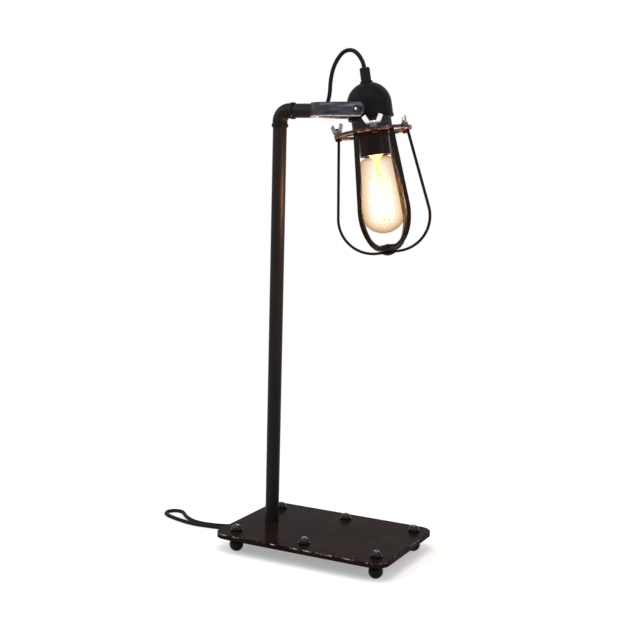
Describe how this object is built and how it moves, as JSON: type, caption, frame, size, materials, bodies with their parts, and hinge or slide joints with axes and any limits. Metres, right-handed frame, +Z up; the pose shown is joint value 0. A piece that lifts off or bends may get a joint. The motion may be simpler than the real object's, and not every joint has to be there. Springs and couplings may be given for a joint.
{
  "type": "table lamp",
  "caption": "Table lamp of dark pipe on a rounded plate with ball feet: elbow arm, fork with a tilting head, filament bulb in a strip cage with copper ring and wing nuts, switch on the cord.",
  "frame": {"origin": "middle of the four feet, on the table under them", "axes": "+X along the arm towards the lamp head, +Y to the back, +Z up"},
  "size_m": [0.3732, 0.1909, 0.6148],
  "materials": {
    "plate_metal": "dark brown patina, satin",
    "black_steel": "satin black",
    "dark_sleeve": "dark grey, satin",
    "foot_black": "gloss black",
    "fork_steel": "dark, worn",
    "bright_steel": "bright",
    "copper": "copper, dulled",
    "brass": "plain",
    "ceramic": "white",
    "bulb_insulation": "black glass",
    "bulb_amber": "clear amber",
    "stem_glass": "clear",
    "hook_wire": "wire",
    "filament": "glowing",
    "fibre": "black fibre",
    "black_plastic": "satin black",
    "cord_black": "black"
  },
  "bodies": {
    "stand": {"base_plate": "plate_metal", "base_bolts": "black_steel", "post_tube": "black_steel", "elbow": "black_steel", "arm_tube": "black_steel", "ball_feet": "foot_black", "fork": "fork_steel", "base_nuts": "bright_steel", "post_nipple": "bright_steel", "post_washer": "bright_steel", "post_nut": "bright_steel", "post_insert": "bright_steel", "arm_insert": "bright_steel", "arm_nipple": "bright_steel", "arm_nut": "bright_steel", "plug_pins": "brass", "post_bush": "black_plastic", "arm_bush": "black_plastic", "switch_base": "black_plastic", "switch_cover": "black_plastic", "cord_tie": "black_plastic", "plug_body": "black_plastic", "plug_relief": "black_plastic", "head_cord": "cord_black", "inner_cord": "cord_black", "supply_cord": "cord_black", "cord_lead": "cord_black", "cord_coil": "cord_black"},
    "head": {"cap": "black_steel", "pivot_screws": "bright_steel", "pivot_washers": "fibre", "cord_grip": "black_plastic", "grip_nut": "bright_steel", "holder_collar": "dark_sleeve", "holder_sleeve": "dark_sleeve", "holder_nut": "bright_steel", "holder_core": "ceramic", "thread_shell": "brass", "centre_contact": "brass", "holder_lead": "cord_black", "bulb_glass": "bulb_amber", "bulb_cap": "brass", "bulb_insulator": "bulb_insulation", "bulb_contact": "bright_steel", "bulb_stem": "stem_glass", "upper_hooks": "hook_wire", "lower_hooks": "hook_wire", "filament": "filament", "cage_gallery": "copper", "cage_ring": "copper", "cage_strip_1": "black_steel", "cage_strip_2": "black_steel", "cage_strip_3": "black_steel", "cage_washer": "black_steel", "cage_rivet": "black_steel", "cage_studs": "black_steel"},
    "wing_1": {"wing_nut_1": "bright_steel"},
    "wing_2": {"wing_nut_2": "bright_steel"},
    "wing_3": {"wing_nut_3": "bright_steel"},
    "rocker": {"switch_rocker": "black_plastic"}
  },
  "joints": [
    {"name": "head_tilt", "type": "hinge", "parent": "stand", "child": "head", "pos_m": [0.0435, 0, 0.542], "axis": [0, -1, 0], "range_deg": [-30, 75], "deforming": ["head_cord"]},
    {"name": "wing_turn_1", "type": "hinge", "parent": "head", "child": "wing_1", "pos_m": [0.06601, -0.03797, 0.52146], "axis": [-0.1771, 0, 0.9842], "continuous": true},
    {"name": "wing_turn_2", "type": "hinge", "parent": "head", "child": "wing_2", "pos_m": [0.07561, 0.0314, 0.52319], "axis": [-0.1771, 0, 0.9842], "continuous": true},
    {"name": "wing_turn_3", "type": "hinge", "parent": "head", "child": "wing_3", "pos_m": [0.00727, -0.0095, 0.51089], "axis": [-0.1771, 0, 0.9842], "continuous": true},
    {"name": "rocker_press", "type": "hinge", "parent": "stand", "child": "rocker", "pos_m": [-0.078, 0.087, 0.0122], "axis": [0, 1, 0], "range_deg": [0, 14]}
  ]
}
